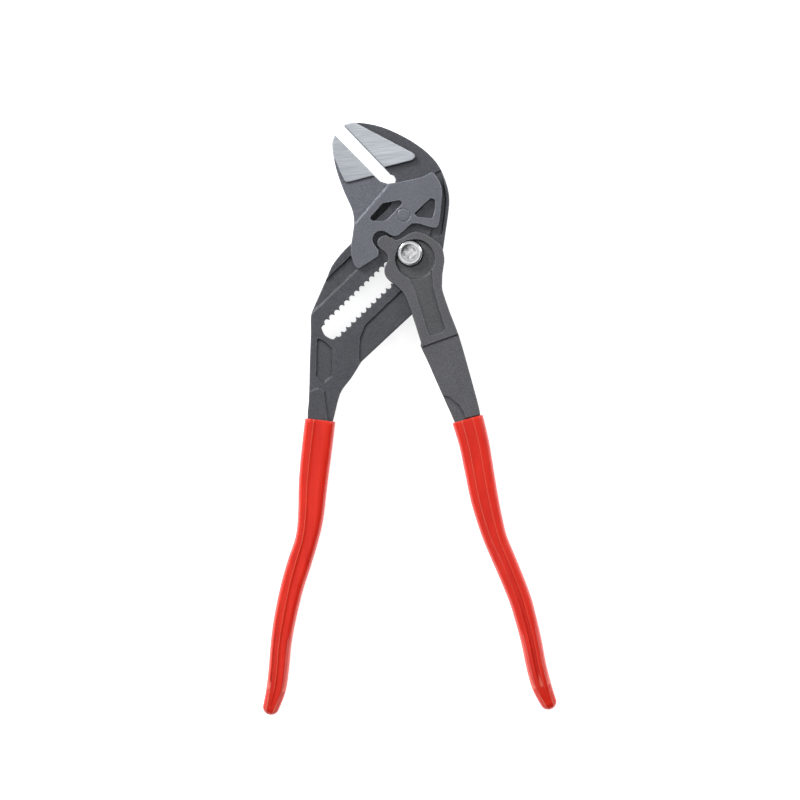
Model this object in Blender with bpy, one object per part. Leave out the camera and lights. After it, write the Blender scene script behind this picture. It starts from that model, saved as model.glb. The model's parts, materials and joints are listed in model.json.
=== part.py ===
"""Tongue and groove pliers with smooth parallel jaws, 250 mm class.

The tool lies flat: X to the right, Y towards the jaw tips, Z up out of the front face. World zero is
on the joint bolt's axis, on the plane the tool rests on. Every object keeps its origin on the bolt's
axis at the middle of the thickness, which is on, or parallel to, every joint axis.
Outlines are in millimetres from the bolt's axis; heights are in millimetres from the middle plane.
"""
import math

import bmesh
import bpy
from mathutils import Vector

MM = 0.001

# ---- driving dimensions, millimetres -------------------------------------------------------------
HEAD_HALF = 7.0            # half thickness over the cheeks: the tool rests on the rear cheeks
BLADE_HALF = 4.0           # half thickness of the slotted lever between the cheeks
CHEEK_INNER = 4.3          # the cheeks start here, clear of the blade
SLOT_ANGLE = math.radians(43.9)
TOOTH_PITCH = 2.9
TOOTH_TIP = 3.3            # from the slot's centre line to the tooth tips
TOOTH_ROOT = 4.7           # and to the tooth roots
SLOT_LOW_END = -49.5       # the slot's ends along its centre line
SLOT_HIGH_END = 8.6
FIT = 0.3                  # gap between pieces that touch
JAW_GAP = 5.2              # between the jaws as drawn
JAW_FACE = 17.1            # the fixed jaw's gripping face, along the slot's direction
GROOVE = (-16.5, -10.5)    # guide groove's walls, across the slot's direction
GROOVE_FLOOR = 2.6
NECK_EDGE = -20.2          # edge of the slotted lever's neck, across the slot's direction
PAD_HALF = 6.4             # the ground jaw pads
JAW_BLOCK_HALF = 5.4       # the sliding jaw's solid block
POCKET_CENTRE = (2.1, -2.4)
POCKET_RADIUS = 8.2
POCKET_FLOOR = 5.4
BOLT_RADIUS = 6.2
SHAFT_RADIUS = 2.7
BUTTON_RADIUS = 5.15
BUTTON_TOP = 9.4
BUTTON_STROKE = 1.8        # the bolt's teeth reach this far into the blade, less a clearance
STUD_RADIUS = 2.6
STUD_AT = (9.2, -13.5)     # along and across the slot
SHANK_HALF = 6.2
TANG_HALF = 5.2
GRIP_WALL = 0.8


def slot_xy(along, across):
    """A place given along the slot, to the upper right, and across it, to the lower right."""
    c, s = math.cos(SLOT_ANGLE), math.sin(SLOT_ANGLE)
    return (along * c + across * s, along * s - across * c)


# ---- outlines ------------------------------------------------------------------------------------
def arc(centre, radius, start, end, steps=8):
    """Points on an arc, angles in degrees."""
    angles = [math.radians(start + (end - start) * i / steps) for i in range(steps + 1)]
    return [(centre[0] + radius * math.cos(a), centre[1] + radius * math.sin(a)) for a in angles]


def circle(centre, radius, steps=48):
    return arc(centre, radius, 0.0, 360.0, steps)[:-1]


def curve(points, steps=3):
    """A smooth open line through the points."""
    ends = [points[0]] + list(points) + [points[-1]]
    line = []
    for i in range(1, len(ends) - 2):
        a, b, c, d = (Vector(p) for p in ends[i - 1:i + 3])
        for k in range(steps):
            t = k / steps
            p = b + (c - a) * (t / 2) + (a - b * 2.5 + c * 2 - d / 2) * t**2
            p += ((b - c) * 1.5 + (d - a) / 2) * t**3
            line.append(tuple(p))
    return line + [tuple(points[-1])]


def rounded(points, radius, steps=4):
    """A closed outline with every corner rounded as far as its sides allow."""
    out = []
    for i, corner in enumerate(points):
        p = Vector(corner)
        back = Vector(points[i - 1]) - p
        ahead = Vector(points[(i + 1) % len(points)]) - p
        wanted = radius * math.tan(abs(math.pi - back.angle(ahead)) / 2)
        cut = min(wanted, back.length * 0.45, ahead.length * 0.45)
        a, b = p + back.normalized() * cut, p + ahead.normalized() * cut
        for k in range(steps + 1):
            t = k / steps
            q = a * (1 - t)**2 + p * (2 * t * (1 - t)) + b * t**2
            out.append((q.x, q.y))
    return out


def area(points):
    return sum(a[0] * b[1] - b[0] * a[1] for a, b in zip(points, points[1:] + points[:1])) / 2


def inset(points, distance):
    """The closed outline moved inwards by a distance, point by point."""
    turn = 1.0 if area(points) > 0 else -1.0
    out = []
    for i, point in enumerate(points):
        p = Vector(point)
        first = (p - Vector(points[i - 1])).normalized()
        second = (Vector(points[(i + 1) % len(points)]) - p).normalized()
        normal = Vector((-first.y - second.y, first.x + second.x)).normalized() * turn
        cosine = max(0.5, normal.dot(Vector((-first.y, first.x)) * turn))
        q = p + normal * (distance / cosine)
        out.append((q.x, q.y))
    return out


# ---- solids --------------------------------------------------------------------------------------
def stack(rings):
    """One closed solid from rings of points, listed from low to high: [(height, outline), ...]."""
    bm = bmesh.new()
    loops = [[bm.verts.new((x * MM, y * MM, z * MM)) for x, y in outline] for z, outline in rings]
    for low, high in zip(loops, loops[1:]):
        for i in range(len(low)):
            bm.faces.new((low[i - 1], low[i], high[i], high[i - 1]))
    bm.faces.new(loops[0])
    bm.faces.new(loops[-1])
    bmesh.ops.recalc_face_normals(bm, faces=bm.faces)
    return bm


def prism(outline, low, high):
    return stack([(low, outline), (high, outline)])


def joined(parts):
    """Several separate solids in one mesh."""
    whole = bmesh.new()
    scratch = bpy.data.meshes.new("scratch")
    for part in parts:
        part.to_mesh(scratch)
        whole.from_mesh(scratch)
        part.free()
    bpy.data.meshes.remove(scratch)
    return whole


def both_faces(outline, floor, ceiling=HEAD_HALF + 3):
    """The same cutter over the front and under the rear face, down to the floor height."""
    return joined([prism(outline, floor, ceiling), prism(outline, -ceiling, -floor)])


def new_object(name, bm):
    mesh = bpy.data.meshes.new(name)
    bm.to_mesh(mesh)
    bm.free()
    obj = bpy.data.objects.new(name, mesh)
    bpy.context.scene.collection.objects.link(obj)
    obj.location = (0, 0, HEAD_HALF * MM)
    return obj


def cut(obj, name, bm, operation="DIFFERENCE"):
    """Cut a helper solid out of an object, or join it on."""
    cutter = new_object(name, bm)
    cutter.hide_render = True
    cutter.display_type = "WIRE"
    modifier = obj.modifiers.new(name, "BOOLEAN")
    modifier.object = cutter
    modifier.operation = operation
    modifier.solver = "EXACT"


def paint(obj, colour, roughness, metallic, smooth=False):
    material = bpy.data.materials.new(obj.name)
    material.use_nodes = True
    shader = material.node_tree.nodes["Principled BSDF"]
    shader.inputs["Base Color"].default_value = (*colour, 1)
    shader.inputs["Roughness"].default_value = roughness
    shader.inputs["Metallic"].default_value = metallic
    material.diffuse_color = (*colour, 1)
    obj.data.materials.append(material)
    for face in obj.data.polygons:
        face.use_smooth = smooth


DARK_STEEL = (0.10, 0.105, 0.115)
WARM_STEEL = (0.12, 0.12, 0.12)
CHROME = (0.80, 0.80, 0.80)
RED = (0.80, 0.05, 0.03)


# ---- the toothed slot and the bolt that meshes with it -------------------------------------------
def tooth_row(start, end, side, clearance=0.0):
    """Hooked teeth along one side of the slot, listed from start to end, with a tip on every pitch."""
    shape = [(-0.50, 0.0), (-0.30, 0.75), (-0.12, 1.0), (0.14, 1.0), (0.30, 0.70), (0.38, 0.25)]
    step = 1 if end > start else -1
    points = []
    for i in range(round(abs(end - start) / TOOTH_PITCH)):
        middle = start + step * (i + 0.5) * TOOTH_PITCH
        for offset, depth in shape[::step]:
            reach = TOOTH_TIP + (TOOTH_ROOT - TOOTH_TIP) * depth - clearance
            points.append((middle + offset * TOOTH_PITCH, side * reach))
    return points


def slot_outline():
    low, high = -16 * TOOTH_PITCH, 2 * TOOTH_PITCH
    low_end = [(low - 0.6, 3.7), (low - 1.8, 3.6), (SLOT_LOW_END + 0.6, 2.3), (SLOT_LOW_END, 0.0),
               (SLOT_LOW_END + 0.6, -2.3), (low - 1.8, -3.6), (low - 0.6, -3.7)]
    high_end = [(high + 0.3, -4.2), (SLOT_HIGH_END - 0.8, -3.8), (SLOT_HIGH_END, -2.4),
                (SLOT_HIGH_END, 2.4), (SLOT_HIGH_END - 0.8, 3.8), (high + 0.3, 4.2)]
    teeth = tooth_row(low, high, -1), tooth_row(high, low, 1)
    return [slot_xy(*p) for p in low_end + teeth[0] + high_end + teeth[1]]


# ---- handles: each tang and its grip follow the same stations -------------------------------------
# (x, y, half width over the grip), from the grip's open end down to its tip
LEFT_HANDLE = [(-37.7, -70.1, 6.4), (-39.2, -82.8, 6.35), (-40.6, -95.7, 6.05), (-41.7, -110.7, 5.35),
               (-43.4, -120.2, 4.85), (-46.6, -130.3, 5.0), (-49.7, -140.6, 4.8), (-52.5, -153.3, 4.6),
               (-54.1, -163.5, 4.35), (-55.0, -173.6, 4.25), (-56.2, -182.8, 4.1), (-58.3, -190.2, 3.4)]
RIGHT_HANDLE = [(24.2, -69.6, 6.6), (26.9, -79.6, 6.3), (29.1, -91.4, 6.05), (31.3, -103.0, 5.8),
                (34.0, -113.7, 5.25), (36.2, -120.6, 4.9), (41.0, -131.9, 4.8), (45.9, -144.1, 4.65),
                (48.4, -152.6, 4.5), (50.9, -162.5, 4.3), (52.9, -172.6, 4.2), (55.2, -181.3, 4.1),
                (58.0, -188.0, 3.4)]
GRIP_TIP = 3.4             # from the last station to the grip's rounded tip


def handle_outline(stations, shrink, last=None, lead=0.0):
    """Down the left edge, round the tip and up the right edge of a handle, all moved in by shrink."""
    line = curve(stations[:last])
    left, right = [], []
    for i, (x, y, half) in enumerate(line):
        before, after = line[max(i - 1, 0)], line[min(i + 1, len(line) - 1)]
        along = Vector((after[0] - before[0], after[1] - before[1])).normalized()
        start = Vector((x, y)) - along * (lead if i == 0 else 0.0)
        side = Vector((along.y, -along.x)) * (half - shrink)
        left.append(tuple(start + side))
        right.append(tuple(start - side))
    x, y, half = line[-1]
    across, ahead = side, along * (GRIP_TIP - shrink)
    tip = []
    for k in range(1, 8):
        a = math.pi * k / 8
        tip.append(tuple(Vector((x, y)) + across * math.cos(a) + ahead * math.sin(a)))
    return left + tip + right[::-1]


def tang(stations):
    return handle_outline(stations, GRIP_WALL + FIT, -1)


def grip(name, stations):
    """A dipped sleeve with a flat face, sloping sides and a socket for the tang."""
    outer = handle_outline(stations, 0.0)
    levels = [(HEAD_HALF, 2.3), (HEAD_HALF - 0.25, 1.75), (HEAD_HALF - 1.6, 0.7), (HEAD_HALF - 3.0, 0.15),
              (HEAD_HALF - 4.2, 0.0)]
    rings = [(-z, inset(outer, d)) for z, d in levels] + [(z, inset(outer, d)) for z, d in reversed(levels)]
    obj = new_object(name, stack(rings))
    socket = handle_outline(stations, GRIP_WALL, -1, lead=8.0)
    cut(obj, name + "_socket", prism(socket, -TANG_HALF - FIT, TANG_HALF + FIT))
    paint(obj, RED, 0.25, 0.0, smooth=True)
    return obj


# ---- slotted lever -------------------------------------------------------------------------------
def slotted_lever():
    """Left tang, toothed slot and fixed jaw in one forging."""
    back = curve([(-27.6, 54.0), (-21.5, 54.9), (-11.9, 53.1), (-2.2, 48.8), (5.2, 44.0), (10.1, 39.4),
                  (13.0, 35.1), (15.5, 28.7), (16.5, 22.8), (16.0, 16.4), (14.9, 8.9), (13.6, 0.0),
                  (12.3, -6.0), (8.5, -15.0), (0.8, -25.5)])
    inner = curve([(-20.4, -45.3), (-21.4, -46.9), (-24.7, -52.2), (-28.4, -57.0), (-30.0, -60.8),
                   (-31.4, -66.5)])
    outer = curve([(-42.9, -66.0), (-42.4, -60.8), (-42.0, -44.7), (-41.6, -34.0), (-41.6, -26.5),
                   (-40.4, -22.6), (-38.1, -17.4), (-34.8, -9.9), (-32.7, -5.1), (-28.9, 0.0),
                   slot_xy(-15.2, NECK_EDGE)])
    neck = [slot_xy(8.0, NECK_EDGE), slot_xy(13.5, -22.5), (-6.9, 28.9)]
    relief = arc((-8.4, 31.0), 2.4, -38.0, 90.0)
    face = [slot_xy(JAW_FACE, -57.7)]
    outline = back + inner + tang(LEFT_HANDLE)[::-1] + outer + neck + relief + face
    lever = new_object("slotted_lever", prism(outline, -PAD_HALF, PAD_HALF))
    # all but the ground pad and the tang comes down to the blade's thickness
    pad_edge = [(-25.6, 57.0), (-22.1, 54.4), (0.6, 42.5), (2.0, 41.5), (2.2, 40.2), (1.3, 39.1),
                (-0.1, 38.6), (-11.6, 35.7)]
    tang_edge = [(-60.0, 0.0), (-60.0, -57.7), (-41.2, -57.5), (-38.4, -56.3), (-36.9, -56.4), (-36.1, -57.6),
                 (-34.4, -70.5), (40.0, -70.5)]
    cut(lever, "pad_step", both_faces(pad_edge + [(-30.0, 22.0)] + tang_edge + [(40.0, 70.0), (-25.6, 70.0)],
                                      BLADE_HALF))
    cut(lever, "tang_step", both_faces([(-70.0, -50.0), (-70.0, -200.0), (0.0, -200.0), (0.0, -50.0)],
                                       TANG_HALF))
    cut(lever, "slot", prism(slot_outline(), -9.0, 9.0))
    groove = [slot_xy(-70.0, GROOVE[0]), slot_xy(-70.0, GROOVE[1]), slot_xy(17.5, GROOVE[1]),
              slot_xy(17.5, GROOVE[0])]
    cut(lever, "guide_groove", both_faces(groove, GROOVE_FLOOR))
    web = rounded([slot_xy(12.0, 8.7), slot_xy(-34.5, 8.7), (-20.9, -35.6), (-21.4, -48.5), (5.0, -48.5),
                   (30.0, -20.0)], 4.0)
    cut(lever, "web_recess", both_faces(web, 3.2))
    channel = rounded([slot_xy(31.0, -16.9), slot_xy(34.0, -16.2), (14.3, 28.2), (15.1, 22.8), (14.5, 16.4),
                       (13.3, 8.0), (8.0, 6.0), slot_xy(22.0, -6.0)], 0.8)
    cut(lever, "back_channel", both_faces(channel, 3.3))
    pocket = rounded([(-38.9, -35.2), (-35.4, -37.2), (-32.7, -39.8), (-32.7, -51.4), (-36.2, -54.2),
                      (-39.3, -51.9)], 1.2)
    cut(lever, "pocket", both_faces(pocket, 3.1))
    paint(lever, DARK_STEEL, 0.45, 0.85)


# ---- sliding jaw ---------------------------------------------------------------------------------
def sliding_jaw():
    """A U-shaped forging: a solid jaw block with a cheek on each side of the blade."""
    side = curve([(-31.6, 49.7), (-32.7, 45.9), (-31.8, 38.9), (-30.1, 32.5), (-27.4, 25.5), (-24.7, 19.6),
                  (-23.6, 15.3), (-23.6, 11.5), (-24.2, 6.7), (-24.8, 3.0), (-24.6, -1.0), (-23.3, -4.9),
                  (-22.0, -6.2), (-20.6, -6.0), (-14.6, -2.2), (-13.3, -1.1), (-13.0, 0.4), (-13.6, 2.0),
                  (-15.0, 3.7), (-15.6, 5.4), (-15.2, 7.3), (-13.9, 8.8), (-11.6, 9.3), (-9.7, 8.6),
                  (-8.0, 7.5),
                  (-6.1, 7.1), (-4.5, 7.7), (-1.9, 10.0), (0.4, 12.0), (2.9, 12.4), (6.2, 11.6), (9.4, 10.6),
                  (11.3, 10.9), (12.0, 12.3), (12.5, 14.8), (13.2, 21.8), (13.4, 26.5), (12.2, 30.3),
                  (10.1, 33.4), (8.5, 33.8), (5.8, 32.3), (-0.1, 30.8), (-6.3, 29.5), (-9.4, 29.2)], 2)
    face = JAW_FACE - JAW_GAP
    outline = side + [slot_xy(face, -30.4)]
    jaw = new_object("sliding_jaw", prism(outline, -HEAD_HALF, HEAD_HALF))
    jaw_side = [(-22.9, 12.4), (-9.4, 28.0), (-8.6, 31.0), (-20.0, 60.0), (-45.0, 60.0), (-45.0, 12.4)]
    cut(jaw, "jaw_step", both_faces(jaw_side, PAD_HALF))
    block = [(-22.9, 12.4), (-9.4, 28.0), (-8.6, 31.0), (-13.0, 33.1), (-15.1, 32.5), (-25.2, 29.8),
             (-26.5, 29.7), (-27.6, 30.4), (-29.4, 34.2), (-31.5, 39.5), (-33.5, 39.5), (-45.0, 12.4)]
    cut(jaw, "block_step", both_faces(block, JAW_BLOCK_HALF))
    # room for the blade between the cheeks, leaving a guide rib on each cheek
    gap = [(45.0, 30.0), (45.0, -29.6), (12.0, -29.6), (2.0, -23.4), (-30.0, -23.4),
           (-30.0, GROOVE[0] + FIT), (5.0, GROOVE[0] + FIT), (5.0, GROOVE[1] - FIT), (-30.0, GROOVE[1] - FIT),
           (-30.0, 30.0)]
    cut(jaw, "blade_gap", prism([slot_xy(*p) for p in gap], -CHEEK_INNER, CHEEK_INNER))
    between_ribs = [(-30.0, GROOVE[0] - 1.0), (6.0, GROOVE[0] - 1.0), (6.0, GROOVE[1] + 1.0),
                    (-30.0, GROOVE[1] + 1.0)]
    rib = GROOVE_FLOOR + FIT
    cut(jaw, "rib_gap", prism([slot_xy(*p) for p in between_ribs], -rib, rib))
    rhombus = rounded([(-16.8, 14.7), (-11.4, 20.8), (-4.3, 22.1), (-3.2, 21.0), (-9.0, 14.8), (-10.7, 13.7),
                       (-15.7, 13.7)], 0.9)
    triangle = rounded([(1.6, 16.4), (8.7, 23.1), (10.5, 22.3), (10.2, 18.0), (9.4, 14.7), (3.4, 15.3)], 0.9)
    cut(jaw, "left_window", prism(rhombus, 0.0, 9.0))
    cut(jaw, "right_window", prism(triangle, 0.0, 9.0))
    cut(jaw, "stud_holes", prism(circle(slot_xy(*STUD_AT), STUD_RADIUS + 0.2, 32), -9.0, 9.0))
    paint(jaw, DARK_STEEL, 0.45, 0.85)


def guide_stud(name, side):
    """A stud pressed through a cheek, flush outside, that rides in the guide groove."""
    centre = slot_xy(*STUD_AT)
    ends = sorted((side * (GROOVE_FLOOR + FIT), side * (HEAD_HALF - 0.05)))
    obj = new_object(name, prism(circle(centre, STUD_RADIUS, 32), *ends))
    paint(obj, DARK_STEEL, 0.45, 0.85)


# ---- fork lever ----------------------------------------------------------------------------------
def fork_lever():
    """Right tang and forked head, with the lobe that pushes the sliding jaw."""
    inner = curve([(-8.7, 6.9), (-10.3, 7.6), (-12.6, 6.7), (-13.8, 4.6), (-13.2, 2.8), (-11.9, 1.5),
                   (-10.7, 0.7),
                   (-9.6, -0.6), (-9.2, -2.3), (-9.8, -4.0), (-10.6, -5.8), (-10.7, -8.2), (-9.4, -10.5),
                   (-7.3, -12.3), (-4.4, -14.7), (-1.9, -17.9), (0.2, -23.3), (4.6, -37.2), (4.3, -38.4),
                   (7.7, -45.7), (10.9, -53.1), (14.6, -61.4), (17.2, -67.2)], 2)
    outer = curve([(29.2, -66.0), (28.1, -61.4), (23.7, -45.4), (20.4, -34.1), (17.0, -25.5), (13.7, -15.8),
                   (13.5, -12.6), (13.6, -8.6), (14.4, -3.5), (14.2, -0.6), (13.3, 2.6), (11.0, 5.0),
                   (6.2, 8.1), (2.3, 9.1), (-0.9, 8.0), (-3.8, 6.1), (-6.1, 5.6)], 2)
    outline = inner + tang(RIGHT_HANDLE) + outer
    lever = new_object("fork_lever", prism(outline, -HEAD_HALF, HEAD_HALF))
    cut(lever, "fork_gap", prism([(-25.0, 20.0), (35.0, 20.0), (35.0, -32.0), (5.0, -60.0), (-25.0, -60.0)],
                                 -CHEEK_INNER, CHEEK_INNER))
    cut(lever, "front_bore", prism(circle((0, 0), BUTTON_RADIUS + FIT), 0.0, 9.0))
    cut(lever, "rear_bore", prism(circle((0, 0), BOLT_RADIUS + FIT), -9.0, 0.0))
    cut(lever, "thumb_pocket", prism(circle(POCKET_CENTRE, POCKET_RADIUS), POCKET_FLOOR, 9.0))
    channel = rounded([(-1.7, -8.0), (2.2, -15.8), (4.5, -23.2), (8.0, -34.6), (14.9, -32.6), (12.2, -23.9),
                       (9.5, -14.5), (9.0, -6.0)], 1.6)
    cut(lever, "shank_channel", both_faces(channel, 6.2))
    shank = [(-20.0, -48.3), (50.0, -22.9), (50.0, -210.0), (-20.0, -210.0)]
    cut(lever, "shank_step", both_faces(shank, SHANK_HALF))
    hollow = [(14.0, -59.6), (16.5, -60.2), (20.4, -63.5), (22.6, -67.0), (23.0, -69.2), (50.0, -62.8),
              (80.0, -210.0), (0.0, -210.0), (0.0, -59.6)]
    cut(lever, "tang_recess", both_faces(hollow, TANG_HALF))
    paint(lever, WARM_STEEL, 0.5, 0.8)


# ---- joint bolt, button, spring and washer -------------------------------------------------------
def toothed_bolt():
    """Round journal for the rear cheek, a toothed block for the slot and a shaft up to the button."""
    block_top = -BLADE_HALF + BUTTON_STROKE - 0.2
    reach = 2 * TOOTH_PITCH
    strip = tooth_row(-reach, reach, -1, 0.35) + tooth_row(reach, -reach, 1, 0.35)
    bolt = new_object("toothed_bolt", prism([slot_xy(*p) for p in strip], -5.0, block_top))
    cut(bolt, "block_round", prism(circle((0, 0), BOLT_RADIUS - 0.15), -9.0, 0.0), "INTERSECT")
    cut(bolt, "journal", prism(circle((0, 0), BOLT_RADIUS), -HEAD_HALF, -4.3), "UNION")
    cut(bolt, "shaft", prism(circle((0, 0), SHAFT_RADIUS, 32), -5.5, 8.3), "UNION")
    paint(bolt, (0.45, 0.45, 0.46), 0.35, 1.0)


def push_button():
    """A chromed cup over the spring."""
    profile = [(8.6, 4.4), (6.1, 4.4), (6.1, BUTTON_RADIUS), (8.8, BUTTON_RADIUS), (9.2, 4.95),
               (BUTTON_TOP, 4.4)]
    obj = new_object("push_button", stack([(z, circle((0, 0), r)) for z, r in profile]))
    paint(obj, CHROME, 0.12, 1.0, smooth=True)


def ring(rings):
    """One closed ring-shaped solid: the last loop joins the first."""
    bm = bmesh.new()
    loops = [[bm.verts.new((x * MM, y * MM, z * MM)) for x, y, z in loop] for loop in rings]
    for k, high in enumerate(loops):
        low = loops[k - 1]
        for i in range(len(low)):
            bm.faces.new((low[i - 1], low[i], high[i], high[i - 1]))
    bmesh.ops.recalc_face_normals(bm, faces=bm.faces)
    return bm


def spring_washer():
    corners = [(4.3, 4.1), (4.7, 4.1), (4.7, 3.1), (4.3, 3.1)]
    loops = [[(x, y, z) for x, y in circle((0, 0), r)] for z, r in corners]
    paint(new_object("spring_washer", ring(loops)), (0.5, 0.5, 0.5), 0.35, 1.0)


def bolt_spring():
    """A short compression spring between the washer and the button."""
    wire, mean, low, high, turns = 0.25, 3.6, 4.95, 8.35, 3.0
    steps = 72
    bm = bmesh.new()
    loops = []
    for i in range(steps + 1):
        turn = 2 * math.pi * turns * i / steps
        height = low + wire + (high - low - 2 * wire) * i / steps
        loop = []
        for k in range(8):
            a = 2 * math.pi * k / 8
            r = mean + wire * math.cos(a)
            place = Vector((r * math.cos(turn), r * math.sin(turn), height + wire * math.sin(a)))
            loop.append(bm.verts.new(place * MM))
        loops.append(loop)
    for low_loop, high_loop in zip(loops, loops[1:]):
        for k in range(8):
            bm.faces.new((low_loop[k - 1], low_loop[k], high_loop[k], high_loop[k - 1]))
    bm.faces.new(loops[0])
    bm.faces.new(loops[-1])
    bmesh.ops.recalc_face_normals(bm, faces=bm.faces)
    paint(new_object("bolt_spring", bm), (0.5, 0.5, 0.5), 0.3, 1.0, smooth=True)


# ---- the tool ------------------------------------------------------------------------------------
for old in list(bpy.data.objects):
    bpy.data.objects.remove(old)

slotted_lever()
grip("left_grip", LEFT_HANDLE)
sliding_jaw()
guide_stud("guide_stud_front", 1)
guide_stud("guide_stud_rear", -1)
fork_lever()
grip("right_grip", RIGHT_HANDLE)
toothed_bolt()
push_button()
bolt_spring()
spring_washer()
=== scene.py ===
"""Looks of the tongue and groove pliers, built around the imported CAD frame."""

import json
import math

import bmesh
import bpy
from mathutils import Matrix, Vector


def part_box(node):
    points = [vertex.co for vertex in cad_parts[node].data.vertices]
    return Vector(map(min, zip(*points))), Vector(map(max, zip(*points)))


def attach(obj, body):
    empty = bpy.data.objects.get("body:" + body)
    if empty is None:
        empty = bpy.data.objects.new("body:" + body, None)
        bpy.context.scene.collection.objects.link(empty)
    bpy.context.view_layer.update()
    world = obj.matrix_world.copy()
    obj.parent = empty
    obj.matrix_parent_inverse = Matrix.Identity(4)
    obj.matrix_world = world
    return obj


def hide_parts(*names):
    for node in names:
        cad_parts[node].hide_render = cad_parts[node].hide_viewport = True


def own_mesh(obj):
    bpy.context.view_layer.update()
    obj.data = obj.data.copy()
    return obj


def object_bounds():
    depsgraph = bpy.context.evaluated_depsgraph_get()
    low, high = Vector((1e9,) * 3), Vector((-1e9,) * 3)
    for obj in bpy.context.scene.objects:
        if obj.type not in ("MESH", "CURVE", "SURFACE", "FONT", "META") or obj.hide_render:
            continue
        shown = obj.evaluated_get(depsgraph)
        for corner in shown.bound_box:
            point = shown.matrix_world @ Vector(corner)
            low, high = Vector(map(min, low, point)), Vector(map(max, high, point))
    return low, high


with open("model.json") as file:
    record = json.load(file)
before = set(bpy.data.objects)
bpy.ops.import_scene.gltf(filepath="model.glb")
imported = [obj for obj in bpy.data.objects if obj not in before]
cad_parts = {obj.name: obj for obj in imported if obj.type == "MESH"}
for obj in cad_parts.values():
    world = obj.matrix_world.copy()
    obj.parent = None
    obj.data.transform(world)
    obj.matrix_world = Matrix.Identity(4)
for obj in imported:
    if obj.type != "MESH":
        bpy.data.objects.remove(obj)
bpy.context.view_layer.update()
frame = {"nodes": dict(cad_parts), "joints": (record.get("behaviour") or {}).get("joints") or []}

# ---- measures taken from the frame, in metres ----------------------------------------------------
joints = {joint["name"]: joint for joint in frame["joints"]}
PIVOT = Vector(joints["handle_swing"]["pos_m"])
SLOT_DIR = Vector(joints["jaw_adjust"]["axis"])
MIDDLE = PIVOT.z
MM = 0.001
BUTTON_LOW, BUTTON_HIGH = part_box("push_button")
BUTTON_RADIUS = (BUTTON_HIGH.x - BUTTON_LOW.x) / 2
PAD_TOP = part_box("slotted_lever")[1].z          # the fixed jaw's ground pad is the lever's highest face
PAD_RISE = PAD_TOP - MIDDLE


# ---- node helpers --------------------------------------------------------------------------------
class Nodes:
    """A material's node tree, with short calls for the nodes used here."""

    def __init__(self, name):
        self.material = bpy.data.materials.new(name)
        self.material.use_nodes = True
        self.tree = self.material.node_tree
        self.shader = self.tree.nodes["Principled BSDF"]
        self.place = self.tree.nodes.new("ShaderNodeTexCoord").outputs["Object"]

    def set(self, **values):
        for key, value in values.items():
            self.shader.inputs[key.replace("_", " ").title().replace("Ior", "IOR")].default_value = value

    def link(self, out, target):
        self.tree.links.new(out, target)

    def mapped(self, scale, turn=0.0):
        node = self.tree.nodes.new("ShaderNodeMapping")
        node.inputs["Scale"].default_value = scale
        spin = self.tree.nodes.new("ShaderNodeVectorRotate")
        spin.rotation_type = "Z_AXIS"
        spin.inputs["Angle"].default_value = turn
        self.link(self.place, spin.inputs["Vector"])
        self.link(spin.outputs[0], node.inputs["Vector"])
        return node.outputs[0]

    def noise(self, scale, detail=3.0, rough=0.55, where=None, distortion=0.0):
        node = self.tree.nodes.new("ShaderNodeTexNoise")
        node.inputs["Scale"].default_value = scale
        node.inputs["Detail"].default_value = detail
        node.inputs["Roughness"].default_value = rough
        node.inputs["Distortion"].default_value = distortion
        self.link(where or self.place, node.inputs["Vector"])
        return node.outputs["Fac"]

    def ramp(self, value, stops):
        node = self.tree.nodes.new("ShaderNodeValToRGB")
        ramp = node.color_ramp
        while len(ramp.elements) < len(stops):
            ramp.elements.new(0.5)
        for element, (position, colour) in zip(ramp.elements, stops):
            element.position = position
            element.color = (*colour, 1) if len(colour) == 3 else (colour[0],) * 3 + (1,)
        self.link(value, node.inputs["Fac"])
        return node.outputs["Color"]

    def mix(self, factor, a, b, blend="MIX"):
        node = self.tree.nodes.new("ShaderNodeMix")
        node.data_type = "RGBA"
        node.blend_type = blend
        self._feed(factor, node.inputs[0])
        self._feed(a, node.inputs[6])
        self._feed(b, node.inputs[7])
        return node.outputs[2]

    def math(self, operation, a, b):
        node = self.tree.nodes.new("ShaderNodeMath")
        node.operation = operation
        self._feed(a, node.inputs[0])
        self._feed(b, node.inputs[1])
        return node.outputs[0]

    def _feed(self, value, target):
        if isinstance(value, bpy.types.NodeSocket):
            self.link(value, target)
        elif isinstance(value, tuple):
            target.default_value = (*value, 1)
        else:
            target.default_value = value

    def bump(self, height, strength, distance, normal=None):
        node = self.tree.nodes.new("ShaderNodeBump")
        node.inputs["Strength"].default_value = strength
        node.inputs["Distance"].default_value = distance
        self.link(height, node.inputs["Height"])
        if normal is not None:
            self.link(normal, node.inputs["Normal"])
        return node.outputs[0]

    def occlusion(self, distance, inside=False):
        """How open the surface is, or with inside how thick the metal is behind it."""
        node = self.tree.nodes.new("ShaderNodeAmbientOcclusion")
        node.samples = 6
        node.inside = inside
        node.only_local = True
        node.inputs["Distance"].default_value = distance
        return node.outputs["AO"]

    def colour(self, out):
        self.link(out, self.shader.inputs["Base Color"])

    def roughness(self, out):
        self.link(out, self.shader.inputs["Roughness"])

    def normal(self, out):
        self.link(out, self.shader.inputs["Normal"])


# ---- materials -----------------------------------------------------------------------------------
def scaled(colour, factor):
    return tuple(c * factor for c in colour)


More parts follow.
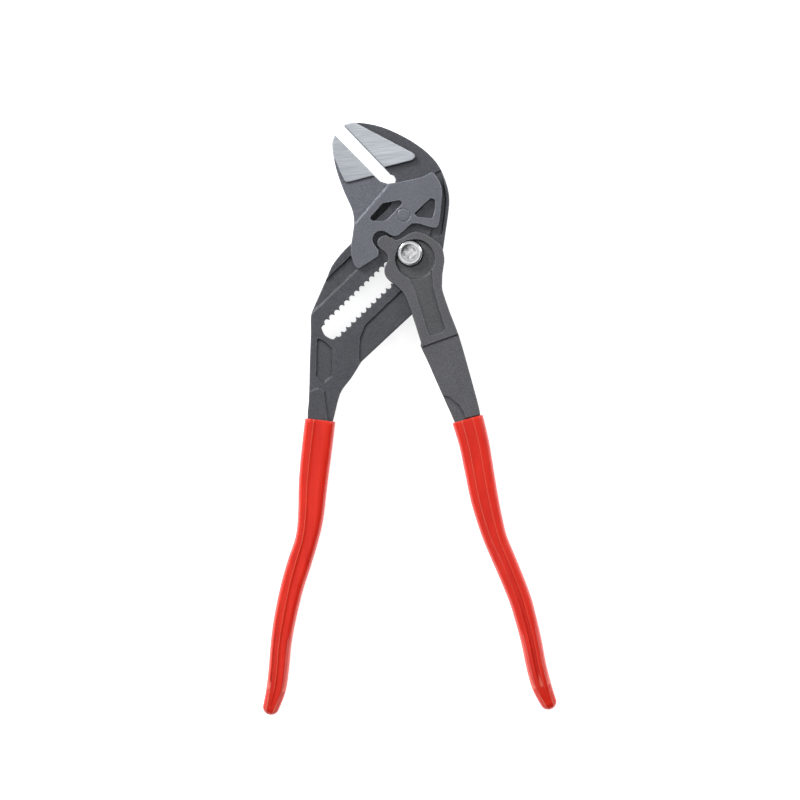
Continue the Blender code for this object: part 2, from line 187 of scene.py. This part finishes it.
def forged_steel(name, tone, edge_wear_and_highlight, rough=0.46):
    """A phosphated forging: fine grain, faint clouding, painted shade in its corners, and edges lightened
    partly as rubbed wear, partly as painted highlight.
    """
    n = Nodes(name)
    n.set(metallic=0.65)
    cloud = n.noise(110.0, 4.0, 0.6)
    grain = n.noise(1500.0, 5.0, 0.7)
    speck = n.noise(3400.0, 2.0, 0.5)
    skin = n.ramp(cloud, [(0.30, scaled(tone, 0.90)), (0.72, scaled(tone, 1.10))])
    grainy = n.mix(0.38, skin, n.ramp(grain, [(0.34, scaled(tone, 0.40)), (0.66, scaled(tone, 1.65))]))
    rubbed = n.ramp(speck, [(0.62, (0.0,)), (0.76, (1.0,))])
    freckled = n.mix(n.math("MULTIPLY", rubbed, 0.22), grainy, scaled(tone, 2.6))
    # painted shade: the colour is multiplied darker in corners and at the feet of steps, where the surface
    # is hemmed in
    corner = n.ramp(n.occlusion(1.3 * MM), [(0.30, (0.30,)), (0.95, (1.0,))])
    with_corner_shade = n.mix(1.0, freckled, corner, "MULTIPLY")
    # rubbed wear and painted highlight: thin edges are lightened in patches toward the pale edge tone
    edge_mask = n.ramp(n.occlusion(0.75 * MM, True), [(0.45, (1.0,)), (0.86, (0.0,))])
    patchy = n.ramp(n.noise(320.0, 4.0, 0.7), [(0.30, (0.45,)), (0.62, (1.0,))])
    wear_and_highlight = n.math("MULTIPLY", edge_mask, patchy)
    n.colour(n.mix(n.math("MULTIPLY", wear_and_highlight, 0.70), with_corner_shade, edge_wear_and_highlight))
    n.roughness(n.ramp(n.noise(420.0, 4.0, 0.65), [(0.30, (rough - 0.08,)), (0.72, (rough + 0.12,))]))
    n.normal(n.bump(cloud, 0.15, 0.00020, n.bump(grain, 0.28, 0.00006)))
    return n.material


def ground_steel(name, turn=math.radians(-4)):
    """A surface-ground pad: long fine scratches across it, over a broad soft sheen."""
    n = Nodes(name)
    n.set(metallic=0.90, anisotropic=0.35)
    long_lines = n.noise(1.0, 3.0, 0.6, n.mapped((60.0, 2100.0, 2100.0), turn))
    bands = n.noise(1.0, 4.0, 0.65, n.mapped((34.0, 1100.0, 1100.0), turn + 0.02), 0.3)
    scratches = n.noise(1.0, 2.0, 0.5, n.mapped((120.0, 5200.0, 5200.0), turn - 0.05))
    base = n.ramp(bands, [(0.28, (0.53, 0.57, 0.62)), (0.50, (0.58, 0.62, 0.67)),
                          (0.74, (0.63, 0.67, 0.72))])
    lined = n.mix(0.26, base, n.ramp(long_lines, [(0.34, (0.34, 0.37, 0.41)), (0.66, (0.80, 0.83, 0.87))]))
    scratch = n.ramp(scratches, [(0.40, (0.22, 0.24, 0.27)), (0.62, (0.90, 0.91, 0.92))])
    n.colour(n.mix(0.20, lined, scratch))
    n.roughness(n.ramp(long_lines, [(0.3, (0.36,)), (0.7, (0.50,))]))
    n.normal(n.bump(long_lines, 0.30, 0.00005, n.bump(bands, 0.12, 0.00012)))
    return n.material


def dipped_vinyl(name):
    """Glossy dipped PVC: an orange-red skin with a few runs along it and faint pores, painted shade in its
    hollows and a painted highlight along its crests and rims.
    """
    n = Nodes(name)
    n.set(metallic=0.0, ior=1.50, coat_weight=0.12, coat_roughness=0.10, specular_ior_level=0.28)
    n.shader.inputs["Subsurface Weight"].default_value = 0.05
    n.shader.inputs["Subsurface Radius"].default_value = (0.0012, 0.0004, 0.0003)
    runs = n.noise(1.0, 3.0, 0.55, n.mapped((420.0, 26.0, 420.0)))
    cloud = n.noise(60.0, 3.0, 0.6)
    pores = n.noise(2400.0, 3.0, 0.6)
    skin = n.ramp(cloud, [(0.30, (0.74, 0.016, 0.005)), (0.70, (0.86, 0.024, 0.008))])
    streaky = n.mix(0.25, skin, n.ramp(runs, [(0.35, (0.62, 0.010, 0.003)), (0.65, (0.92, 0.034, 0.012))]))
    # painted shade: the skin is multiplied darker in the grooves and hollows of the grip
    painted_hollow_shade = n.ramp(n.occlusion(2.0 * MM), [(0.40, (0.62,)), (0.95, (1.0,))])
    # painted highlight: thin crests and rims are lightened toward a pale orange-red
    painted_crest_highlight = n.ramp(n.occlusion(0.7 * MM, True), [(0.52, (1.0,)), (0.88, (0.0,))])
    skin_with_hollow_shade = n.mix(1.0, streaky, painted_hollow_shade, "MULTIPLY")
    n.colour(n.mix(n.math("MULTIPLY", painted_crest_highlight, 0.70), skin_with_hollow_shade, (1.0, 0.22, 0.15)))
    n.roughness(n.ramp(pores, [(0.30, (0.28,)), (0.72, (0.42,))]))
    n.normal(n.bump(pores, 0.10, 0.00004, n.bump(runs, 0.22, 0.00015)))
    return n.material


def chrome(name, peened=False):
    n = Nodes(name)
    n.set(metallic=1.0)
    if peened:
        n.colour(n.ramp(n.noise(800.0, 5.0, 0.7), [(0.38, (0.34, 0.34, 0.36)), (0.56, (0.90, 0.90, 0.91))]))
    else:
        n.colour(n.ramp(n.noise(500.0, 4.0, 0.6), [(0.3, (0.74, 0.75, 0.76)), (0.7, (0.90, 0.90, 0.91))]))
    n.roughness(n.ramp(n.noise(2200.0, 3.0, 0.6), [(0.3, (0.08,)), (0.7, (0.17,))]))
    if peened:
        n.normal(n.bump(n.noise(1100.0, 4.0, 0.65), 0.50, 0.00026))
    else:
        n.normal(n.bump(n.noise(900.0, 2.0, 0.5), 0.06, 0.00005))
    return n.material


def turned_steel(name):
    """Bright turned steel for the bolt, spring and washer."""
    n = Nodes(name)
    n.set(metallic=0.95)
    n.colour(n.ramp(n.noise(300.0, 4.0, 0.6), [(0.3, (0.30, 0.30, 0.31)), (0.7, (0.50, 0.50, 0.51))]))
    n.roughness(n.ramp(n.noise(1800.0, 3.0, 0.6), [(0.3, (0.22,)), (0.7, (0.40,))]))
    n.normal(n.bump(n.noise(2600.0, 3.0, 0.6), 0.2, 0.00004))
    return n.material


FLOOR_GLOW = 0.75          # a back-lit table, so that the slot and the jaws' gap show white


def floor_paper(name):
    n = Nodes(name)
    n.set(metallic=0.0)
    paper = n.ramp(n.noise(40.0, 3.0, 0.6), [(0.3, (0.955, 0.957, 0.96)), (0.7, (0.975, 0.976, 0.978))])
    n.colour(paper)
    n.link(paper, n.shader.inputs["Emission Color"])
    n.shader.inputs["Emission Strength"].default_value = FLOOR_GLOW
    n.roughness(n.ramp(n.noise(900.0, 3.0, 0.6), [(0.3, (0.78,)), (0.7, (0.90,))]))
    return n.material


JAW_STEEL = forged_steel("phosphated_steel_jaw", (0.178, 0.186, 0.214), (0.50, 0.52, 0.56), 0.44)
LEVER_STEEL = forged_steel("phosphated_steel_lever", (0.102, 0.104, 0.118), (0.38, 0.39, 0.42))
# darker copies of the steel for the recessed faces: painted shade
LEVER_RECESS_SHADE = forged_steel("phosphated_steel_recess_painted_shade", (0.102, 0.105, 0.117), (0.28, 0.285, 0.30), 0.50)
WARM_STEEL = forged_steel("phosphated_steel_warm", (0.138, 0.139, 0.149), (0.40, 0.40, 0.42))
WARM_RECESS_SHADE = forged_steel("phosphated_steel_warm_recess_painted_shade", (0.118, 0.121, 0.125), (0.28, 0.28, 0.285), 0.50)
GROUND = ground_steel("ground_pad_steel")
VINYL = dipped_vinyl("dipped_red_vinyl")
CHROME = chrome("button_chrome")
PEENED = chrome("button_chrome_peened", True)
BRIGHT = turned_steel("turned_bright_steel")


# ---- refined meshes made from the frame ----------------------------------------------------------
VOXEL = 0.25 * MM          # fine enough to keep the teeth
RELAX_PASSES = 3
KEPT_FACES = 0.14          # share of the relaxed faces that thinning keeps
PAD_SLACK = 0.12 * MM
# the stretch along the slot that holds the two gripping faces, and the lowest they reach
GRIPPING = (11.0 * MM, 18.0 * MM)
GRIPPING_LOWEST = 30 * MM
STUD_LOW, STUD_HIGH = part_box("guide_stud_front")
STUD_CENTRE = (STUD_LOW + STUD_HIGH) / 2
STUD_RADIUS = (STUD_HIGH.x - STUD_LOW.x) / 2
STUD_SPREAD = 0.17 * MM    # how far peening spreads the stud


def finish_piece(bm, name, nodes, body, materials):
    mesh = bpy.data.meshes.new(name)
    bm.to_mesh(mesh)
    bm.free()
    piece = bpy.data.objects.new(name, mesh)
    bpy.context.scene.collection.objects.link(piece)
    for material in materials:
        mesh.materials.append(material)
    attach(piece, body)
    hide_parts(*nodes)
    return piece


def weighted_normals(piece):
    normals = piece.modifiers.new("weighted_normals", "WEIGHTED_NORMAL")
    normals.keep_sharp = True
    normals.weight = 60


def region(centre, normal, recess_below, recess_above_y):
    """2 for the ground pads and gripping faces, 1 for the recessed faces, which take a darker copy of the
    steel as painted shade, 0 for the rest.
    """
    height = abs(centre.z - MIDDLE)
    if abs(normal.z) > 0.9 and abs(height - PAD_RISE) < PAD_SLACK:
        return 2
    near_gap = GRIPPING[0] < centre.dot(SLOT_DIR) < GRIPPING[1] and centre.y > GRIPPING_LOWEST
    if abs(normal.dot(SLOT_DIR)) > 0.99 and near_gap:
        return 2
    return 1 if height < recess_below and centre.y > recess_above_y else 0


def rounded_forging(node, name, body, materials, recess_below, recess_above_y=-1.0):
    """The forging with its edges and corners rolled over, as a die and a tumbler leave them.

    The CAD solid is remeshed finely and relaxed, which rounds only its edges, and then thinned out
    where it is flat. Materials: raised faces, recessed faces in a darker copy as painted shade, ground
    pads.
    """
    rough = bpy.data.objects.new(name + "_rough", frame["nodes"][node].data.copy())
    bpy.context.scene.collection.objects.link(rough)
    remesh = rough.modifiers.new("remesh", "REMESH")
    remesh.mode = "VOXEL"
    remesh.voxel_size = VOXEL
    relax = rough.modifiers.new("relax", "SMOOTH")
    relax.factor = 0.5
    relax.iterations = RELAX_PASSES
    thin = rough.modifiers.new("thin", "DECIMATE")
    thin.ratio = KEPT_FACES
    graph = bpy.context.evaluated_depsgraph_get()
    bm = bmesh.new()
    bm.from_mesh(rough.evaluated_get(graph).to_mesh())
    bpy.data.objects.remove(rough)
    for face in bm.faces:
        face.smooth = True
        face.material_index = region(face.calc_center_median(), face.normal, recess_below, recess_above_y)
    piece = finish_piece(bm, name, (node,), body, materials)
    weighted_normals(piece)


rounded_forging("slotted_lever", "slotted_lever_forging", "slot_side",
                (LEVER_STEEL, LEVER_RECESS_SHADE, GROUND), 3.7 * MM)
rounded_forging("sliding_jaw", "sliding_jaw_forging", "jaw_side",
                (JAW_STEEL, LEVER_RECESS_SHADE, GROUND), 4.5 * MM)
rounded_forging("fork_lever", "fork_lever_forging", "fork_side",
                (WARM_STEEL, WARM_RECESS_SHADE, GROUND), 6.5 * MM, -35 * MM)


# ---- dipped grips --------------------------------------------------------------------------------
# (x, y, half width) down each handle's centre line in mm, the same stations as the CAD
LEFT_HANDLE = [(-37.7, -70.1, 6.4), (-39.2, -82.8, 6.35), (-40.6, -95.7, 6.05), (-41.7, -110.7, 5.35),
               (-43.4, -120.2, 4.85), (-46.6, -130.3, 5.0), (-49.7, -140.6, 4.8), (-52.5, -153.3, 4.6),
               (-54.1, -163.5, 4.35), (-55.0, -173.6, 4.25), (-56.2, -182.8, 4.1), (-58.3, -190.2, 3.4)]
RIGHT_HANDLE = [(24.2, -69.6, 6.6), (26.9, -79.6, 6.3), (29.1, -91.4, 6.05), (31.3, -103.0, 5.8),
                (34.0, -113.7, 5.25), (36.2, -120.6, 4.9), (41.0, -131.9, 4.8), (45.9, -144.1, 4.65),
                (48.4, -152.6, 4.5), (50.9, -162.5, 4.3), (52.9, -172.6, 4.2), (55.2, -181.3, 4.1),
                (58.0, -188.0, 3.4)]
GRIP_TIP = 3.4             # from the last station to the rounded tip
GRIP_HALF = 7.0            # half thickness
SOCKET_HALF = 5.5          # half thickness of the socket for the tang
WALL = 0.8                 # vinyl between the socket and the grip's sides
TIP_STEPS = 12             # rings round the tip
SOCKET_STOP = 5            # rings left solid before the last station
FADE = 10.0                # the ridges run out over this much before the tip
TAPER = 16.0               # and the grip thins over this much
TAPER_DEPTH = 0.28
BLEND = (0.35, 0.65)       # share of the length over which the upper face turns into the lower
LIP = (0.25, 0.32)         # the rolled lip's two rings, ahead of the first station
# how far the face drops below its highest line, across the grip from its left edge (-1) to its right (1)
LEFT_FACE = [(-0.60, 0.36), (-0.50, 0.32), (-0.45, 0.30), (-0.42, 0.02), (-0.38, 0.00), (-0.34, 0.20),
             (-0.18, 0.40), (0.15, 0.30), (0.42, 0.10), (0.60, 0.22)]
LEFT_FACE_LOW = [(-0.60, 0.38), (-0.34, 0.34), (-0.25, 0.30), (-0.20, 0.02), (-0.15, 0.00), (-0.10, 0.22),
                 (0.06, 0.44), (0.26, 0.30), (0.42, 0.10), (0.60, 0.26)]
RIGHT_FACE = [(-0.60, 0.36), (-0.50, 0.32), (-0.45, 0.28), (-0.42, 0.02), (-0.38, 0.00), (-0.32, 0.24),
              (0.22, 0.44), (0.27, 0.04), (0.32, 0.00), (0.60, 0.22)]
RIGHT_FACE_LOW = [(-0.60, 0.28), (-0.40, 0.06), (-0.28, 0.00), (-0.22, 0.12), (-0.12, 0.66), (0.04, 0.78),
                  (0.16, 0.68), (0.22, 0.04), (0.29, 0.00), (0.60, 0.26)]
# the side below the face: how far in from the widest line, at each height from the middle plane
GRIP_SIDE = [(0.0, 0.0), (0.0, 2.8), (0.12, 3.9), (0.45, 5.0), (1.0, 6.0), (1.75, 6.72)]


def spline(points, steps):
    """A smooth line through points of any number of coordinates."""
    ends = [points[0]] + list(points) + [points[-1]]
    line = []
    for i in range(1, len(ends) - 2):
        a, b, c, d = ends[i - 1:i + 3]
        for k in range(steps):
            t = k / steps
            weights = (-t / 2 + t**2 - t**3 / 2, 1 - 2.5 * t**2 + 1.5 * t**3,
                       t / 2 + 2 * t**2 - 1.5 * t**3, -t**2 / 2 + t**3 / 2)
            line.append(tuple(sum(w * p[j] for w, p in zip(weights, (a, b, c, d)))
                              for j in range(len(b))))
    return line + [tuple(points[-1])]


def grip_section(half, face, relief):
    """Half of a closed section, over the front: (across, height), from the left side to the right."""
    left = [(-(half - inset), z) for inset, z in GRIP_SIDE]
    top = [(t * half, GRIP_HALF - drop * relief) for t, drop in spline(face, 3)]
    return left + top + [(-x, z) for x, z in reversed(left)]


def grip_sleeve(side, stations, upper_face, lower_face):
    """The dipped sleeve, lofted down the handle, with its rolled lip and the socket for the tang."""
    line = spline(stations, 5)
    run = [0.0]
    for before, after in zip(line, line[1:]):
        run.append(run[-1] + math.dist(before[:2], after[:2]))
    rings = []
    for i, (x, y, half) in enumerate(line):
        before, after = line[max(i - 1, 0)], line[min(i + 1, len(line) - 1)]
        along = Vector((after[0] - before[0], after[1] - before[1])).normalized()
        share = run[i] / run[-1]
        blend = min(max((share - BLEND[0]) / (BLEND[1] - BLEND[0]), 0.0), 1.0)
        face = [(a[0] + (b[0] - a[0]) * blend, a[1] + (b[1] - a[1]) * blend)
                for a, b in zip(upper_face, lower_face)]
        left_over = run[-1] - run[i]
        relief = min(1.0, left_over / FADE)
        thin = 1.0 - TAPER_DEPTH * max(0.0, 1.0 - left_over / TAPER)**2
        rings.append((Vector((x, y)), along, half, face, relief, 1.0, thin))
    outer = [place_ring(*ring) for ring in rings]
    end, along, half, face, _, _, thin = rings[-1]
    for k in range(1, TIP_STEPS):
        a = math.pi / 2 * k / TIP_STEPS
        place = end + along * GRIP_TIP * math.sin(a)
        outer.append(place_ring(place, along, half, face, 0.0, math.cos(a), thin * math.cos(a)**0.6))
    start, along, half, face, relief, _, _ = rings[0]
    lip = [place_ring(start - along * LIP[0], along, half - 0.12, face, relief, 0.985, 0.985),
           place_ring(start - along * LIP[1], along, half - 0.35, face, relief, 0.95, 0.95)]
    socket = [socket_ring(ring[0], ring[1], ring[2] - WALL) for ring in rings[:-SOCKET_STOP]]
    mouth = socket_ring(start - along * LIP[1], along, half - WALL)
    loops = socket[::-1] + [mouth] + lip[::-1] + outer
    bm = bmesh.new()
    verts = [[bm.verts.new((x * MM, y * MM, z * MM + MIDDLE)) for x, y, z in loop] for loop in loops]
    for a, b in zip(verts, verts[1:]):
        for i in range(len(a)):
            bm.faces.new((a[i - 1], a[i], b[i], b[i - 1]))
    bm.faces.new(verts[0])
    bm.faces.new(verts[-1])
    for face in bm.faces:
        face.smooth = True
    bmesh.ops.recalc_face_normals(bm, faces=bm.faces)
    finish_piece(bm, side + "_grip_sleeve", (side + "_grip",), GRIP_BODY[side], (VINYL,))


def place_ring(centre, along, half, face, relief, narrow, thin):
    """The full outer section at a place on the handle, front half and mirrored rear half."""
    front = grip_section(half, face, relief)
    section = front + [(x, -z) for x, z in reversed(front[1:-1])]
    across = Vector((-along.y, along.x))
    return [(*(centre + across * x * narrow), z * thin) for x, z in section]


def socket_ring(centre, along, half):
    """A rounded box round the tang, with as many points as the outer section."""
    count = len(grip_section(half, LEFT_FACE, 1.0)) * 2 - 2
    across = Vector((-along.y, along.x))
    points = []
    for i in range(count):
        a = math.pi - 2 * math.pi * i / count
        c, s = math.cos(a), math.sin(a)
        x = half * math.copysign(abs(c)**0.25, c)
        z = SOCKET_HALF * math.copysign(abs(s)**0.25, s)
        points.append((x, z))
    return [(*(centre + across * x), z) for x, z in points]


GRIP_BODY = {"left": "slot_side", "right": "fork_side"}
grip_sleeve("left", LEFT_HANDLE, LEFT_FACE, LEFT_FACE_LOW)
grip_sleeve("right", RIGHT_HANDLE, RIGHT_FACE, RIGHT_FACE_LOW)

# ---- joint parts ---------------------------------------------------------------------------------
for node in ("toothed_bolt", "spring_washer"):
    data = frame["nodes"][node].data
    data.materials.clear()
    data.materials.append(BRIGHT)


def spring_coil():
    """The spring under the button, copied from the frame and carried on the joint carriage."""
    bm = bmesh.new()
    bm.from_mesh(frame["nodes"]["bolt_spring"].data)
    bmesh.ops.remove_doubles(bm, verts=bm.verts, dist=2e-6)
    for face in bm.faces:
        face.smooth = True
    piece = finish_piece(bm, "bolt_spring_coil", ("bolt_spring",), "joint_carriage",
                         (BRIGHT,))
    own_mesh(piece)


spring_coil()


def turned(profile, steps=96, second_from=None):
    """A closed solid of revolution about its own Z, from (radius, height) points.

    From the ring second_from on, the end cap included, the faces take the second material.
    """
    bm = bmesh.new()
    turns = [2 * math.pi * i / steps for i in range(steps)]
    loops = [[bm.verts.new((r * math.cos(a), r * math.sin(a), z)) for a in turns] for r, z in profile]
    for k, (inside, outside) in enumerate(zip(loops, loops[1:])):
        for i in range(steps):
            face = bm.faces.new((inside[i - 1], inside[i], outside[i], outside[i - 1]))
            face.smooth = True
            if second_from is not None and k >= second_from:
                face.material_index = 1
    cap = bm.faces.new(loops[-1])
    if second_from is not None:
        cap.material_index = 1
    bm.faces.new(loops[0])
    bmesh.ops.recalc_face_normals(bm, faces=bm.faces)
    return bm


def guide_stud(node, side):
    """A peened stud, a little wider than the CAD stud and as long, with a soft crowned end."""
    low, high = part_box(node)
    inner, outer = (low.z, high.z) if side > 0 else (high.z, low.z)
    radius = STUD_RADIUS + STUD_SPREAD
    profile = [(STUD_RADIUS, inner), (radius, inner + side * 0.3 * MM), (radius, outer - side * 0.10 * MM),
               (radius - 0.25 * MM, outer - side * 0.02 * MM), (radius * 0.5, outer), (radius * 0.2, outer)]
    bm = turned(profile, 48)
    bmesh.ops.translate(bm, verts=bm.verts, vec=(STUD_CENTRE.x, STUD_CENTRE.y, 0))
    finish_piece(bm, node + "_peened", (node,), "jaw_side", (JAW_STEEL,))


guide_stud("guide_stud_front", 1)
guide_stud("guide_stud_rear", -1)


DISH_RING = 10             # the ring of the cup's section where the peened dish starts


def push_button():
    """The chromed cup: rounded rim, shallow dish and a peened centre."""
    radius, low, high = BUTTON_RADIUS, BUTTON_LOW.z, BUTTON_HIGH.z
    # (in from the outside, down from the top), from inside the cup round its rim to the dish
    section = [(0.75, 0.80), (0.75, None), (0.0, None), (0.0, 0.75), (0.06, 0.50), (0.25, 0.22),
               (0.55, 0.05), (0.95, 0.0), (1.35, 0.06), (1.8, 0.20), (2.3, 0.34), (3.55, 0.46),
               (4.35, 0.48)]
    profile = [(radius - r * MM, low if z is None else high - z * MM) for r, z in section]
    finish_piece(turned(profile, second_from=DISH_RING), "push_button_cup", ("push_button",),
                 "bolt_side", (CHROME, PEENED))


push_button()

# ---- floor, light and camera ---------------------------------------------------------------------
FLOOR_REACH = 3.0
FLOOR_DROP = 0.0002        # under the lowest point of the tool
FLAG_SIDE = (0.62, -0.55, 0.56)
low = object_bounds()[0]
floor_mesh = bpy.data.meshes.new("floor")
corners = [(x * FLOOR_REACH, y * FLOOR_REACH, 0) for x, y in ((-1, -1), (1, -1), (1, 1), (-1, 1))]
floor_mesh.from_pydata(corners, [], [(0, 1, 2, 3)])
floor = bpy.data.objects.new("floor", floor_mesh)
bpy.context.scene.collection.objects.link(floor)
floor.location.z = low[2] - FLOOR_DROP
floor_mesh.materials.append(floor_paper("floor_paper"))

# the studio: white overhead, pale at and below the horizon, darker between, a dark flag at lower right
world = bpy.data.worlds.new("studio")
bpy.context.scene.world = world
world.use_nodes = True
nodes, links = world.node_tree.nodes, world.node_tree.links


def grey_ramp(value, stops):
    node = nodes.new("ShaderNodeValToRGB")
    elements = node.color_ramp.elements
    while len(elements) < len(stops):
        elements.new(0.5)
    for element, (position, grey) in zip(elements, stops):
        element.position = position
        element.color = (grey, grey, grey, 1)
    links.new(value, node.inputs["Fac"])
    return node.outputs["Color"]


direction = nodes.new("ShaderNodeTexCoord").outputs["Generated"]
split = nodes.new("ShaderNodeSeparateXYZ")
links.new(direction, split.inputs[0])
towards = nodes.new("ShaderNodeVectorMath")
towards.operation = "DOT_PRODUCT"
towards.inputs[1].default_value = FLAG_SIDE
links.new(direction, towards.inputs[0])
shaded = nodes.new("ShaderNodeMix")
shaded.data_type = "RGBA"
shaded.blend_type = "MULTIPLY"
shaded.inputs[0].default_value = 1.0
links.new(grey_ramp(split.outputs["Z"], [(0.0, 0.75), (0.45, 0.30), (0.80, 0.45), (1.0, 1.0)]),
          shaded.inputs[6])
links.new(grey_ramp(towards.outputs["Value"], [(0.55, 1.0), (0.85, 0.12)]), shaded.inputs[7])
links.new(shaded.outputs[2], nodes["Background"].inputs["Color"])
nodes["Background"].inputs["Strength"].default_value = 1.0


def softbox(name, place, aim, size, power):
    lamp = bpy.data.lights.new(name, "AREA")
    lamp.shape = "RECTANGLE"
    lamp.size, lamp.size_y = size
    lamp.energy = power
    light = bpy.data.objects.new(name, lamp)
    light.location = place
    light.rotation_euler = (Vector(aim) - Vector(place)).to_track_quat("-Z", "Y").to_euler()
    bpy.context.scene.collection.objects.link(light)


centre = Vector((PIVOT.x - 4.2 * MM, PIVOT.y - 61.4 * MM, MIDDLE))
softbox("key", (-0.80, 0.75, 0.85), centre, (0.45, 0.45), 13.0)
softbox("fill", (0.95, 0.45, 0.75), centre, (0.40, 0.70), 5.0)

# straight down on the front face, through a long lens
FIELD = 336 * MM           # width of the view at the middle of the tool
camera_data = bpy.data.cameras.new("camera")
camera_data.lens = 200
camera_data.sensor_width = 36
camera_data.clip_end = 20
camera = bpy.data.objects.new("camera", camera_data)
camera.location = centre + Vector((0, 0, FIELD * camera_data.lens / camera_data.sensor_width))
camera.rotation_euler = (0, 0, 0)
bpy.context.scene.collection.objects.link(camera)
bpy.context.scene.camera = camera
bpy.context.scene.view_settings.view_transform = "Standard"
